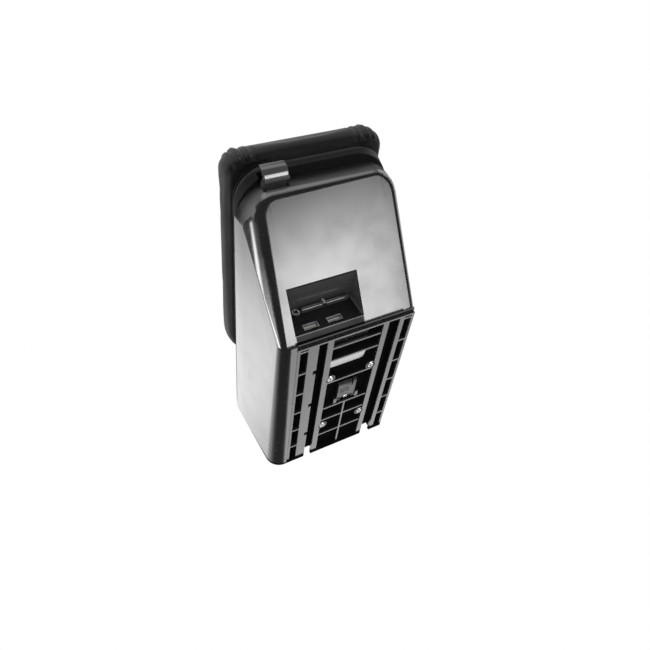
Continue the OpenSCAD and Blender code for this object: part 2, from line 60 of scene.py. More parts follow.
camera_data = bpy.data.cameras.new("camera")
camera_data.sensor_width = sensor_mm
camera_data.lens = sensor_mm * focal_px / picture_px
camera = bpy.data.objects.new("camera", camera_data)
scene.collection.objects.link(camera)
turn = Matrix((view_right, -view_down, -sight)).transposed()
camera.matrix_world = Matrix.Translation(camera_place) @ turn.to_4x4()
scene.camera = camera


# Studio: a white surround for the camera, an even ambient level, and soft light banks
# that only glossy surfaces see, as the large diffusers of a product shot.
class Wire:
    """One socket of a node tree; arithmetic on it adds Math nodes to that tree."""

    def __init__(self, socket):
        self.socket = socket

    def node(self, kind, settings=(), inputs=(), out=0):
        """Any other node: its settings first, then the values or links of its sockets."""
        made = self.socket.id_data.nodes.new(kind)
        for name, value in dict(settings).items():
            setattr(made, name, value)
        for name, value in dict(inputs).items():
            if isinstance(value, Wire):
                made.id_data.links.new(value.socket, made.inputs[name])
            else:
                made.inputs[name].default_value = value
        return Wire(made.outputs[out]) if len(made.outputs) else None

    def _sum(self, operation, *values):
        return self.node("ShaderNodeMath", {"operation": operation}, dict(enumerate(values)))

    def __add__(self, other):
        return self._sum("ADD", self, other)

    def __sub__(self, other):
        return self._sum("SUBTRACT", self, other)

    def __rsub__(self, other):
        return self._sum("SUBTRACT", other, self)

    def __mul__(self, other):
        return self._sum("MULTIPLY", self, other)

    __radd__, __rmul__ = __add__, __mul__

    def __abs__(self):
        return self._sum("ABSOLUTE", self)

    def ease(self, low, high):
        """0 below low, 1 above high, with a smooth step between."""
        return self.node("ShaderNodeMapRange", {"interpolation_type": "SMOOTHSTEP"},
                         {"Value": self, "From Min": low, "From Max": high})

    def axis(self, name):
        """One component of a vector."""
        return self.node("ShaderNodeSeparateXYZ", (), {0: self}, name)

    def noise(self, scale, detail=3.0, rough=0.5):
        """Smooth noise on these coordinates, 0 to 1."""
        return self.node("ShaderNodeTexNoise", (), {
            "Vector": self, "Scale": scale, "Detail": detail, "Roughness": rough})

    def blend(self, low, high):
        """A colour from low to high as this value goes from 0 to 1."""
        return self.node("ShaderNodeMix", {"data_type": "RGBA"}, {
            "Factor": self, 6: (*low, 1.0) if isinstance(low, tuple) else low,
            7: (*high, 1.0) if isinstance(high, tuple) else high}, 2)


# Each bank is a soft-edged window of directions: for x, y and z the four values where it
# starts to rise, is full, starts to fall and is dark again, and then its strength.
light_banks = [
    # Below and in front, for the sloped face; above and behind, for the tub's left side.
    ((0.20, 0.32, 0.465, 0.58), (-0.50, -0.32, -0.22, -0.12), (-1.3, -1.2, -0.75, -0.64), 6.2),
    ((-1.0, -0.7, -0.2, -0.1), (0.48, 0.76, 0.79, 0.98), (-0.3, 0.45, 0.7, 0.85), 1.6),
    # Behind, for the rib edges and for the ramps between them.
    ((0.1, 0.25, 0.55, 0.75), (0.50, 0.66, 1.2, 1.3), (-0.75, -0.6, 0.0, 0.2), 1.15),
    ((0.1, 0.25, 0.55, 0.75), (0.80, 0.88, 1.2, 1.3), (-0.30, -0.15, 0.05, 0.2), 1.3),
    # Overhead, right, rear, front and left, all faint, for views from above and from the sides.
    ((-0.8, -0.5, 0.4, 0.7), (-0.8, -0.5, 0.4, 0.7), (0.75, 0.92, 1.2, 1.3), 1.2),
    ((0.62, 0.82, 1.2, 1.3), (-0.8, -0.6, 0.6, 0.8), (-0.2, 0.0, 0.5, 0.7), 1.0),
    ((-0.16, 0.0, 0.5, 0.7), (0.80, 0.90, 1.2, 1.3), (0.06, 0.16, 0.6, 0.8), 0.8),
    ((-0.5, -0.3, 0.5, 0.7), (-1.3, -1.2, -0.85, -0.72), (-0.1, 0.0, 0.5, 0.7), 0.8),
    ((-1.3, -1.2, -0.85, -0.7), (-0.7, -0.5, -0.05, 0.08), (0.0, 0.1, 0.5, 0.7), 1.0),
    # A bright strip far to the left, for the highlight along the sloped face's left edge.
    ((-1.3, -1.2, -0.86, -0.76), (0.14, 0.24, 0.45, 0.6), (-0.32, -0.18, 0.15, 0.3), 8.0),
]
dim_surround, ambient_level = 0.05, 0.32

world = bpy.data.worlds.new("studio")
scene.world = world
world.use_nodes = True
world.cycles.sampling_method = "NONE"
world.node_tree.nodes.clear()
facing = Wire(world.node_tree.nodes.new("ShaderNodeTexCoord").outputs["Generated"])
banks = dim_surround
for *spans, strength in light_banks:
    inside = strength
    for name, (rise, full, fall, dark) in zip("XYZ", spans):
        part = facing.axis(name)
        inside = part.ease(rise, full) * (1 - part.ease(fall, dark)) * inside
    banks = inside + banks
camera_ray = facing.node("ShaderNodeLightPath", out="Is Camera Ray")
glossy_ray = facing.node("ShaderNodeLightPath", out="Is Glossy Ray")
level = camera_ray + glossy_ray * banks + (1 - camera_ray) * (1 - glossy_ray) * ambient_level
surround = facing.node("ShaderNodeBackground", (), {"Color": (1, 1, 1, 1), "Strength": level})
facing.node("ShaderNodeOutputWorld", (), {"Surface": surround})


def soft_lamp(name, place, target, size, watts):
    """A square area lamp at place that faces target."""
    data = bpy.data.lights.new(name, "AREA")
    data.size, data.energy = size, watts
    lamp = bpy.data.objects.new(name, data)
    scene.collection.objects.link(lamp)
    lamp.location = place
    lamp.rotation_mode = "QUATERNION"
    lamp.rotation_quaternion = (Vector(target) - Vector(place)).to_track_quat("-Z", "Y")
    lamp.visible_glossy = False


soft_lamp("key", (-0.9, -1.1, 1.2), (0, 0, 0.05), 1.0, 9)
soft_lamp("fill_below", (-0.5, -1.2, -0.9), (0, 0, 0.05), 1.2, 5)
soft_lamp("rim_back", (0.9, 1.0, 0.9), (0, 0, 0.05), 0.9, 5)


def new_finish(name):
    """An empty material; returns it with its object coordinates."""
    material = bpy.data.materials.new(name)
    material.use_nodes = True
    material.node_tree.nodes.clear()
    return material, Wire(material.node_tree.nodes.new("ShaderNodeTexCoord").outputs["Object"])


def put_surface(shader):
    """Links a shader to its material's output."""
    shader.node("ShaderNodeOutputMaterial", (), {"Surface": shader})


# Floor: pale, under the armrest. It shows only from above, so it never hides the
# underside, and it neither shades nor mirrors into the piece that stands on it.
def new_piece(name, mesh):
    """Puts a mesh into the scene as a piece at the origin."""
    made = bpy.data.objects.new(name, mesh)
    scene.collection.objects.link(made)
    return made


def smooth_faces(mesh):
    """Shades every face of a mesh smooth."""
    mesh.polygons.foreach_set("use_smooth", np.ones(len(mesh.polygons), bool))


def face_mesh(name, points, faces):
    """A smooth mesh from an array of points and the point numbers of its faces."""
    mesh = bpy.data.meshes.new(name)
    mesh.from_pydata(points.reshape(-1, 3), [], faces)
    smooth_faces(mesh)
    return mesh


def grid_quads(rows, cols, closed):
    """Point numbers of a grid's quads: (i, j), (i + 1, j), (i + 1, j + 1), (i, j + 1) for
    each cell. closed joins the last column to the first."""
    i, j = (k.ravel() for k in np.meshgrid(
        np.arange(rows - 1), np.arange(cols if closed else cols - 1), indexing="ij"))
    j1 = (j + 1) % cols
    return np.stack([i * cols + j, (i + 1) * cols + j, (i + 1) * cols + j1, i * cols + j1], 1)


def grid_piece(name, points, closed=False):
    """A skin of quads through a rows x columns x 3 array of points."""
    return new_piece(name, face_mesh(name, points, grid_quads(*points.shape[:2], closed)))


floor_reach, floor_drop = np.array([-6.0, 6.0]), -0.0004
floor_points = np.meshgrid(floor_reach, floor_reach, [floor_drop], indexing="ij")
floor = grid_piece("floor", np.stack(floor_points, -1).reshape(2, 2, 3))
floor_finish, here = new_finish("floor_paper")
paper = here.node("ShaderNodeBsdfDiffuse", (), {"Color": (0.82, 0.82, 0.81, 1)})
clear = here.node("ShaderNodeBsdfTransparent")
from_below = here.node("ShaderNodeNewGeometry", out="Backfacing")
put_surface(here.node("ShaderNodeMixShader", (), {0: from_below, 1: paper, 2: clear}))
floor.data.materials.append(floor_finish)
floor.visible_diffuse = floor.visible_glossy = floor.visible_transmission = False
floor.visible_shadow = False


# Tub: the black box itself, injection-moulded ABS, smooth and glossy with faint
# finger smudges; one piece, with the collar, the hinge ears and the recess in it.
weld_reach = 1e-6


def crisp(piece, split_degrees=28):
    """Joins a piece's loose triangles for shading: hard edges stay, round ones read round."""
    smooth_faces(piece.data)
    piece.modifiers.new("join", "WELD").merge_threshold = weld_reach
    split = piece.modifiers.new("edges", "EDGE_SPLIT")
    split.split_angle = math.radians(split_degrees)
    piece.modifiers.new("flats", "WEIGHTED_NORMAL").keep_sharp = True
    return piece


def dress(node_name, material):
    """Gives a CAD node its finish."""
    piece = crisp(nodes[node_name])
    piece.data.materials.clear()
    piece.data.materials.append(material)
    return piece


# A pale tone for painted light and a near-black for painted shade, used by moulded().
pale, painted_shade_tone = (0.17, 0.17, 0.175), (0.004, 0.004, 0.004, 1)


def moulded(name, colour, rough, smudge, coat, edge=0.0004, ior=1.75, painted_light=None, painted_shade=None):
    """Moulded plastic: smudged gloss under a clear skin, with softened edges.

    Where given, the last two arguments are functions of the place: the first is 1 where a pale tone is
    painted on as light, the second is 1 where a rough near-black is painted on as shade."""
    material, here = new_finish(name)
    cloud = here.noise(22.0, 4.0, 0.6)
    streak = here.noise(90.0, 3.0)
    grain = here.noise(1400.0, 2.0)
    roughness = rough + cloud.ease(0.35, 0.75) * smudge + streak * (smudge * 0.35)
    tone = cloud.blend(tuple(c * 0.85 for c in colour), tuple(min(c * 1.2, 1) for c in colour))
    # Painted light: the tone is blended towards pale where the surface catches light.
    if painted_light:
        tone = painted_light(here).blend(tone, pale)
    soft_edge = here.node("ShaderNodeBevel", {"samples": 4}, {"Radius": edge})
    skin = here.node("ShaderNodeBump", (), {
        "Strength": 0.04, "Distance": 0.0002, "Height": grain + cloud * 2, "Normal": soft_edge})
    shader = here.node("ShaderNodeBsdfPrincipled", (), {
        "Base Color": tone, "Roughness": roughness, "IOR": ior, "Coat Weight": coat,
        "Coat Roughness": 0.12, "Coat IOR": 1.6, "Normal": skin})
    # Painted shade: the shader is mixed towards a matt near-black where the surface falls in shade.
    if painted_shade:
        painted_shade_matt = here.node("ShaderNodeBsdfDiffuse", (), {"Color": painted_shade_tone, "Roughness": 1.0})
        shader = here.node("ShaderNodeMixShader", (), {0: painted_shade(here), 1: shader, 2: painted_shade_matt})
    put_surface(shader)
    return material


tub_low, tub_high = (np.array(corner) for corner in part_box("tub"))
rim_half, rim_front, rim_rear, rim_height = 0.0686, tub_low[1], tub_high[1], 0.082
crease_height, flat_front, foot_half, long_edge_r = 0.0666, tub_high[1] - 0.1875, 0.064, 0.014
slope = crease_height / (flat_front - rim_front)
recess_left, recess_right, lip_height = -0.0490, 0.0130, 0.0043
recess_back, recess_front, ceiling_height = flat_front - 0.0063, flat_front - 0.038, 0.0315
ceiling_rise = (ceiling_height - slope * (flat_front - recess_front)) / (recess_back - recess_front)


def tub_painted_light(here):
    """Painted light: the recess's upper wall and the foot of the collar, which are matt, are painted
    pale where they catch light.

    A point lies behind the sloped face where z + slope (y - flat_front) is above 0. It lies
    over the recess's upper wall where z is above ceiling_height + ceiling_rise (y - recess_back)."""
    across, along, height = (here.axis(name) for name in "XYZ")
    behind = height + along * slope - slope * flat_front
    between = (across.ease(recess_left - 0.0010, recess_left - 0.0005)
               * (1 - across.ease(recess_right + 0.0002, recess_right + 0.0007)))
    above = height - along * ceiling_rise - (ceiling_height - recess_back * ceiling_rise)
    wall = behind.ease(0.0006, 0.0030) * (1 - above.ease(0.0004, 0.0009)) * between
    wall *= 1 - along.ease(recess_back, recess_back + 0.0005)
    collar = height.ease(crease_height - 0.0005, crease_height + 0.0008)
    collar *= (1 - height.ease(0.069, 0.080)) * (1 - along.ease(rim_front + 0.020, rim_front + 0.030))
    return wall * 0.8 + collar * 0.9


def tub_painted_shade(here):
    """Painted shade: the lip under the recess, the tub's rearmost edge, and most of its right side are
    painted a matt near-black where they fall in shade."""
    across, along, height = (here.axis(name) for name in "XYZ")
    lip = across.ease(recess_left - 0.0005, recess_left + 0.0010)
    lip *= 1 - across.ease(recess_right - 0.0010, recess_right + 0.0005)
    lip *= along.ease(recess_back - 0.0010, recess_back)
    lip *= 1 - along.ease(flat_front + 0.007, flat_front + 0.008)
    lip *= 1 - height.ease(lip_height - 0.0003, lip_height + 0.0003)
    rear_edge = along.ease(rim_rear - 0.0034, rim_rear - 0.0024)
    right_side = here.node("ShaderNodeNewGeometry", out="Normal").axis("X").ease(0.6, 0.9)
    return 1 - (1 - lip * 0.92) * (1 - rear_edge) * (1 - right_side * 0.82)


tub_black = (0.020, 0.020, 0.022)
# Painted light on the recess's upper wall and the collar's foot; painted shade on the lip, the rear
# edge and the right side.
gloss_black = moulded("gloss_black", tub_black, 0.16, 0.12, 1.0, painted_light=tub_painted_light, painted_shade=tub_painted_shade)


# Front corners of the tub: it narrows towards its nose, and its sloped face meets the sides
# in tight roundings, the left one wider than the right. The plain tub's mesh gets blocks
# at its front corners and is then trimmed to this finer form.
def ball(centre, r, rows=15):
    """Points on a sphere: centre + r (cos a cos b, cos a sin b, sin a)."""
    a, b = np.meshgrid(np.linspace(-np.pi / 2, np.pi / 2, rows),
                       np.linspace(0, 2 * np.pi, 4 * rows - 4, endpoint=False), indexing="ij")
    around = np.stack([np.cos(a) * np.cos(b), np.cos(a) * np.sin(b), np.sin(a)], -1)
    return np.array(centre) + r * around.reshape(-1, 3)


def ring_points(centre, r, heights, steps=40):
    """Points of upright circles about one centre: (x + r cos a, y + r sin a, z)."""
    a = np.linspace(0, 2 * np.pi, steps, endpoint=False)
    flat = np.stack([centre[0] + r * np.cos(a), centre[1] + r * np.sin(a)], 1)
    return np.concatenate([np.column_stack([flat, np.full(steps, z)]) for z in heights])


def hull_piece(name, points):
    """The convex hull of a cloud of points as a closed mesh."""
    mesh = bpy.data.meshes.new(name)
    mesh.from_pydata(points, [], [])
    form = bmesh.new()
    form.from_mesh(mesh)
    made_hull = bmesh.ops.convex_hull(form, input=form.verts)
    spare = [v for v in made_hull["geom_interior"] if isinstance(v, bmesh.types.BMVert)]
    bmesh.ops.delete(form, geom=spare, context="VERTS")
    bmesh.ops.recalc_face_normals(form, faces=form.faces)
    form.to_mesh(mesh)
    form.free()
    return new_piece(name, mesh)


def settle(piece, kind, settings):
    """Adds one modifier to a piece and applies it at once."""
    step = piece.modifiers.new("step", kind)
    for name, value in settings.items():
        setattr(step, name, value)
    bpy.context.view_layer.objects.active = piece
    bpy.ops.object.modifier_apply(modifier=step.name)


def combine(piece, other, operation):
    """Joins, trims or cuts piece with another closed mesh, which is then thrown away."""
    settle(piece, "BOOLEAN", {"operation": operation, "solver": "EXACT", "object": other})
    bpy.data.objects.remove(other)


rim_corner_r, nose_half, nose_corner_r = 0.028, 0.0625, 0.020
left_edge_r, right_edge_r = 0.0105, 0.0072
foot_nose_half, foot_edge_r, full_run = 0.0632, 0.006, 0.024
side_draft, above_rim, filler_wall = 0.0012, rim_height + 0.02, 0.0024
beyond_side, beyond_nose = 0.075, 0.01


def nose_form(name, grow=0.0):
    """Hull of the rim, balls along the sloped face's edge, and the rounded foot.

    A ball that touches the slope from inside has its centre at height
    slope (flat_front - y) + r sqrt(1 + slope^2). grow moves every face out."""
    cloud = []
    for s, nose_edge_r in ((-1, left_edge_r), (1, right_edge_r)):
        cloud.append(ring_points((s * (rim_half - rim_corner_r), rim_front + rim_corner_r),
                                 rim_corner_r + grow, [above_rim]))
        reach_r = nose_corner_r - nose_edge_r
        for a in np.radians([0, 15, 30, 45, 60, 75, 90]):
            x = nose_half - nose_corner_r + reach_r * math.sin(a)
            y = rim_front + nose_corner_r - reach_r * math.cos(a)
            z = slope * (flat_front - y) + nose_edge_r * math.sqrt(1 + slope ** 2)
            cloud.append(ball((s * x, y, z), nose_edge_r + grow))
        foot = (s * (foot_nose_half - foot_edge_r), flat_front + foot_edge_r * 0.32, foot_edge_r)
        cloud.append(ball(foot, foot_edge_r + grow))
        side, rear = rim_half - side_draft + grow, rim_rear + grow
        cloud.append(np.array([[s * side, rim_front + full_run, crease_height],
                               [s * side, rear, crease_height],
                               [s * (rim_half + grow), rear, above_rim]]))
        a, long_r = np.linspace(-np.pi / 2, 0, 12), long_edge_r + grow
        for y in (flat_front + full_run, rear):
            cloud.append(np.stack([s * (foot_half - long_edge_r + long_r * np.cos(a)),
                                   np.full(12, y), long_edge_r + long_r * np.sin(a)], 1))
    return hull_piece(name, np.concatenate(cloud))


def corner_zone(name, sign, top, foot):
    """Space round one front corner; top and foot are the height and the inner x at its ends."""
    cloud = [(sign * x, y, z) for y in (rim_front - beyond_nose, flat_front)
             for z, inner in (top, foot) for x in (inner, beyond_side)]
    return hull_piece(name, np.array(cloud))


def welded_copy(name, node_name):
    """A copy of a CAD node's mesh as one closed skin."""
    made = new_piece(name, nodes[node_name].data.copy())
    made.data.materials.clear()
    settle(made, "WELD", {"merge_threshold": weld_reach})
    return made


shell = welded_copy("tub_shell", "tub")
beside_recess = ((0.070, 0.0463), (-0.01, 0.0512))
beside_notch = ((rim_height, 0.049), (0.0699, 0.049))
for sign in (-1, 1):
    for zone in (beside_recess, beside_notch):
        filler = nose_form("corner_fill")
        combine(filler, corner_zone("corner_space", sign, *zone), "INTERSECT")
        combine(filler, nose_form("corner_core", grow=-filler_wall), "DIFFERENCE")
        combine(shell, filler, "UNION")
trim_play = 0.00003
combine(shell, nose_form("trim", grow=trim_play), "INTERSECT")
shell.data.materials.append(gloss_black)
crisp(shell)
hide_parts("tub")
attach(shell, "box")


# Slide base: the ribbed plate under the tub, moulded in the same black plastic and held on
# by four screws. Its rib edges are polished by sliding; the pockets and rails between them,
# and its rear end, get painted shade: a matt near-black for the shade inside them.
base_finish, here = new_finish("slide_base_black")
depth = here.axis("Z")
tilt = here.node("ShaderNodeNewGeometry", out="Normal").axis("Y")
on_ramp = tilt.ease(0.06, 0.12) * (1 - tilt.ease(0.5, 0.7))
at_rear = here.axis("Y").ease(rim_rear - 0.0085, rim_rear - 0.0060)
# Painted shade: all that lies deeper than the rib edges, except the ramps, and the rear end.
painted_pocket_shade = (depth.ease(0.0006, 0.0034) + at_rear) * (1 - on_ramp)
cloud = here.noise(26.0, 4.0, 0.6)
lengthwise = here.node("ShaderNodeMapping", (), {"Vector": here, "Scale": (900.0, 30.0, 900.0)})
scuff = lengthwise.noise(1.0, 2.0).ease(0.55, 0.8)
edge_tone = cloud.blend((0.030, 0.030, 0.033), (0.048, 0.048, 0.052))
soft_edge = here.node("ShaderNodeBevel", {"samples": 4}, {"Radius": 0.0004})
polished = here.node("ShaderNodeBsdfPrincipled", (), {
    "Base Color": edge_tone, "Roughness": 0.2 + cloud * 0.14 + scuff * 0.15, "IOR": 1.75,
    "Coat Weight": 0.8, "Coat Roughness": 0.15, "Coat IOR": 1.6, "Normal": soft_edge})
painted_pocket_black = here.node("ShaderNodeBsdfDiffuse", (), {
    "Color": (0.012, 0.012, 0.012, 1), "Roughness": 1.0})
put_surface(here.node("ShaderNodeMixShader", (), {0: painted_pocket_shade, 1: polished, 2: painted_pocket_black}))
dress("slide_base", base_finish)


# Screws, pins, springs and clips: zinc-plated steel, turned or bent, slightly clouded.
# The strike that the latch hooks under is a staple of blued steel, whose two legs are
# pressed into the tub's front wall.
steel_finish, here = new_finish("plated_steel")
cloud = here.noise(160.0, 3.0)
turned = here.noise(2600.0, 2.0)
steel_tone = cloud.blend((0.62, 0.63, 0.66), (0.86, 0.87, 0.89))
ripple = here.node("ShaderNodeBump", (), {"Strength": 0.08, "Distance": 0.0001, "Height": turned})
put_surface(here.node("ShaderNodeBsdfPrincipled", (), {
    "Base Color": steel_tone, "Metallic": 1.0, "Roughness": 0.2 + cloud * 0.15, "Normal": ripple}))
for name in ("base_screws", "lock_pin", "lock_spring", "usb_shell_left", "usb_shell_right",
             "jack_head", "bar_clip", "module_screws", "board_screws", "latch_pin",
             "latch_spring", "hinge_pin"):
    dress(name, steel_finish)
blued_steel = moulded("blued_steel", (0.02, 0.02, 0.022), 0.4, 0.1, 0.0, ior=1.5)
dress("latch_strike", blued_steel)


# Slide lock: the small pawl in the middle bay, moulded in the base's plastic. It turns on
# a pin in the cage of ribs, and a spring pushes its tongue down.
satin_black = moulded("satin_black", (0.03, 0.03, 0.032), 0.3, 0.1, 0.3)
dress("lock_pawl", satin_black)


# Charging module: a dull black moulded block, screwed on behind the recess from inside
# the bin, with two flat sockets in folded steel shells, white contact tongues, and a
# glossy bar in a groove.
dull_black = moulded("dull_black", (0.012, 0.012, 0.013), 0.55, 0.1, 0.0, ior=1.4)
dress("usb_housing", dull_black)
bar_grey = moulded("bar_grey", (0.10, 0.10, 0.105), 0.14, 0.06, 1.0)
dress("module_bar", bar_grey)
tongue_white = moulded("tongue_white", (0.62, 0.62, 0.60), 0.4, 0.05, 0.0, ior=1.45)
dress("usb_tongues", tongue_white)


# Bin fittings: a rubber mat laid on the floor of the bin, and rubber stops pushed into
# its corner posts, which the closed lid rests on.
rubber_black = moulded("rubber_black", (0.022, 0.022, 0.022), 0.75, 0.1, 0.0, ior=1.4)
dress("bin_mat", rubber_black)
dress("bump_stops", rubber_black)


# Lid base and its latch lever: black plastic, finely grained, with a bevelled upper edge
# and rounder lower corners at the front. The lever is glossier where the finger pulls
# it. The hard board above carries the pad and is screwed on from below.
lid_low, lid_high = (np.array(corner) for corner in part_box("lid_base"))
lid_top, bevel_start, skin_gap = 0.094, 0.0893, 0.0001


def lid_painted_light(here):
    """Painted light: the lid base's bevelled upper edge is painted a little paler than the rest, where
    it catches light.
    """
    return here.axis("Z").ease(bevel_start, bevel_start + 0.0005) * 0.25


grained_black = moulded("grained_black", (0.010, 0.010, 0.011), 0.5, 0.1, 0.0, ior=1.4, painted_light=lid_painted_light)
lid_levels = (   # inset, corner radius and heights, from the bottom up
    (0.0, 0.046, (lid_low[2] - 0.002, lid_low[2] + 0.004)),
    (0.0035, 0.026, (lid_top - 0.0035,)),
    (0.0055, 0.026, (lid_top + skin_gap,)))
bevelled = []
for inset, corner_r, heights in lid_levels:
    side, front = lid_high[0] + skin_gap - inset, lid_low[1] - skin_gap + inset * 0.4
    for s in (-1, 1):
        bevelled.append(ring_points((s * (side - corner_r), front + corner_r), corner_r, heights))
        bevelled.append(np.array([[s * side, lid_high[1] + 0.001, z] for z in heights]))
lid_shell = welded_copy("lid_shell", "lid_base")
combine(lid_shell, hull_piece("lid_bevel", np.concatenate(bevelled)), "INTERSECT")
lid_shell.data.materials.append(grained_black)
crisp(lid_shell)
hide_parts("lid_base")
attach(lid_shell, "lid")
dress("pad_board", dull_black)
lever_black = moulded("lever_black", (0.10, 0.10, 0.105), 0.16, 0.06, 1.0)
dress("latch_lever", lever_black)


def close_ends(piece, count):
    """Closes the first and the last ring of a grid and turns all its faces outwards."""
    form = bmesh.new()
    form.from_mesh(piece.data)
    form.verts.ensure_lookup_table()
    total = len(form.verts)
    form.faces.new([form.verts[i] for i in range(count)])
    form.faces.new([form.verts[i] for i in range(total - 1, total - count - 1, -1)])
    bmesh.ops.recalc_face_normals(form, faces=form.faces)
    form.to_mesh(piece.data)
    form.free()
    return piece


def run_of(path):
    """How far along a path each of its points lies."""
    return np.concatenate([[0], np.cumsum(np.linalg.norm(np.diff(path, axis=0), axis=1))])


def along_run(at, run, values):
    """Rows of values, interpolated where the run is at."""
    return np.stack([np.interp(at, run, column) for column in values.T], 1)


def finger_plate(name, x0, x1, path, half_thick):
    """A curved plate: its profile is a line in the Y-Z plane, given half_thick either way
    along its normal and round ends, carried from x0 to x1.

    Over end_run at either end the profile shrinks towards its middle, by about edge_r."""
    run = run_of(path)
    smooth = along_run(np.linspace(0, run[-1], 24), run, path)
    for _ in range(6):
        smooth[1:-1] = (smooth[:-2] + 2 * smooth[1:-1] + smooth[2:]) / 4
    ahead = np.gradient(smooth, axis=0)
    ahead /= np.linalg.norm(ahead, axis=1, keepdims=True)
    normal = half_thick * np.stack([-ahead[:, 1], ahead[:, 0]], 1)
    ahead *= half_thick
    a = np.linspace(-np.pi / 2, np.pi / 2, 7)[:, None]
    tip = smooth[-1] + np.cos(a) * ahead[-1] + np.sin(a) * normal[-1]
    tail = smooth[0] - np.cos(a) * ahead[0] - np.sin(a) * normal[0]
    outline = np.concatenate([smooth[1:-1] - normal[1:-1], tip,
                              (smooth[1:-1] + normal[1:-1])[::-1], tail])
    edge_r, end_run, profile_length = 0.0008, 0.0010, 0.012
    across = np.array([x0, x0 + edge_r / 4, x0 + end_run, x1 - end_run, x1 - edge_r / 4, x1])
    shrink = np.array([1.0, 0.75, 0.0, 0.0, 0.75, 1.0]) * edge_r / profile_length
    flat = outline + shrink[:, None, None] * (outline.mean(0) - outline)
    x = np.broadcast_to(across[:, None, None], (*flat.shape[:2], 1))
    return close_ends(grid_piece(name, np.concatenate([x, flat], -1), closed=True), len(outline))


lever_low, lever_high = (np.array(corner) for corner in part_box("latch_lever"))
plate_half_thick = 0.0013
plate_path = lever_low[1:] + np.array(
    [(0.0001, 0.0058), (-0.0030, 0.0075), (-0.0050, 0.0105), (-0.0056, 0.0138)])
paddle = finger_plate("latch_paddle", lever_low[0], lever_high[0], plate_path, plate_half_thick)
paddle.data.materials.append(lever_black)
crisp(paddle, 40)
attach(paddle, "latch")


# Pad: foam on the board, under black grained leather that is pulled tight round the
# edge, with a sewn seam and two rows of top-stitching along each long side.
pad_low, pad_high = (np.array(corner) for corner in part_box("lid_pad"))
front_r, rear_r, least_r = 0.0150, 0.0435, 0.012
waist_rise, tuck_drop, tuck_run = 0.0115, 0.0112, 0.006
waist_z = pad_low[2] + waist_rise
crown_run, crown_rise, crown_spare = 0.042, 0.0035, 0.0020
shoulder_run, shoulder_rise = 0.0115, pad_high[2] - waist_z - crown_spare
arc_steps = 14


def pad_ring(inset, height):
    """A rounded rectangle round the pad's outline, drawn in by inset, at one height.

    Four quarter circles joined by straight sides: corner centre + r (cos a, sin a)."""
    x1, y0, y1 = pad_high[0] - inset, pad_low[1] + inset, pad_high[1] - inset
    turn_angle = np.linspace(0, np.pi / 2, arc_steps)
    rings = []
    for start, radius, sx, sy in ((0, rear_r, 1, 1), (1, rear_r, -1, 1),
                                  (2, front_r, -1, -1), (3, front_r, 1, -1)):
        r = max(radius - inset * 0.6, least_r)
        cx, cy = sx * (x1 - r), (y1 - r if sy > 0 else y0 + r)
        a = turn_angle + start * np.pi / 2
        rings.append(np.stack([cx + r * np.cos(a), cy + r * np.sin(a), np.full_like(a, height)], 1))
    return np.concatenate(rings)


def pad_piece(name, shrink):
    """The closed pad as rings from its lower edge, out to the waist, over the shoulder and
    in to the crown, with a flat bottom and a flat middle.

    Below the waist (inset, z) follows a quarter ellipse of tuck_run by tuck_drop, above it
    another of shoulder_run by shoulder_rise, and the top rises as a quarter sine."""
    tuck, shoulder = np.radians(np.linspace(-78, 0, 7)), np.radians(np.linspace(10, 84, 9))
    crown = np.linspace(0.15, 1, 7)
    insets = np.concatenate([tuck_run * (1 - np.cos(tuck)), shoulder_run * (1 - np.cos(shoulder)),
                             shoulder_run + crown_run * crown])
    rises = np.concatenate([tuck_drop * np.sin(tuck), shoulder_rise * np.sin(shoulder),
                            shoulder_rise + crown_rise * np.sin(crown * np.pi / 2)])
    rings = [pad_ring(inset + shrink, waist_z + rise) for inset, rise in zip(insets, rises)]
    return close_ends(grid_piece(name, np.stack(rings), closed=True), 4 * arc_steps)


def vertex_vectors(mesh, what):
    """One row of three per vertex: its place, "co", or its normal, "normal"."""
    values = np.empty(len(mesh.vertices) * 3)
    mesh.vertices.foreach_get(what, values)
    return values.reshape(-1, 3)


voxel, swell_cap, cloth_shrink, cloth_steps, held_drop = 0.0040, 0.0018, 0.0004, 20, 0.006


def run_cloth(piece):
    """Puffs a closed mesh up with a short cloth simulation and caps how far it moves."""
    settle(piece, "REMESH", {"mode": "VOXEL", "voxel_size": voxel})
    start = vertex_vectors(piece.data, "co")
    held = piece.vertex_groups.new(name="held")
    held.add(np.where(start[:, 2] < waist_z - held_drop)[0].tolist(), 1.0, "REPLACE")
    cloth = piece.modifiers.new("cloth", "CLOTH")
    cloth.settings.use_pressure = True
    cloth.settings.uniform_pressure_force = 4.0
    cloth.settings.effector_weights.gravity = 0.0
    cloth.settings.vertex_group_mass = "held"
    cloth.settings.tension_stiffness = cloth.settings.compression_stiffness = 25
    for step in range(1, cloth_steps + 1):
        scene.frame_set(step)
    swollen = piece.evaluated_get(bpy.context.evaluated_depsgraph_get()).to_mesh()
    moved = vertex_vectors(swollen, "co") - start
    piece.modifiers.clear()
    length = np.linalg.norm(moved, axis=1, keepdims=True)
    moved *= np.minimum(1, swell_cap / np.maximum(length, 1e-9))
    piece.data.vertices.foreach_set("co", (start + moved).ravel())
    piece.vertex_groups.clear()
    scene.frame_set(1)


pad = pad_piece("pad_cover", cloth_shrink)
run_cloth(pad)
settle(pad, "SUBSURF", {"levels": 2, "render_levels": 2})
smooth_faces(pad.data)

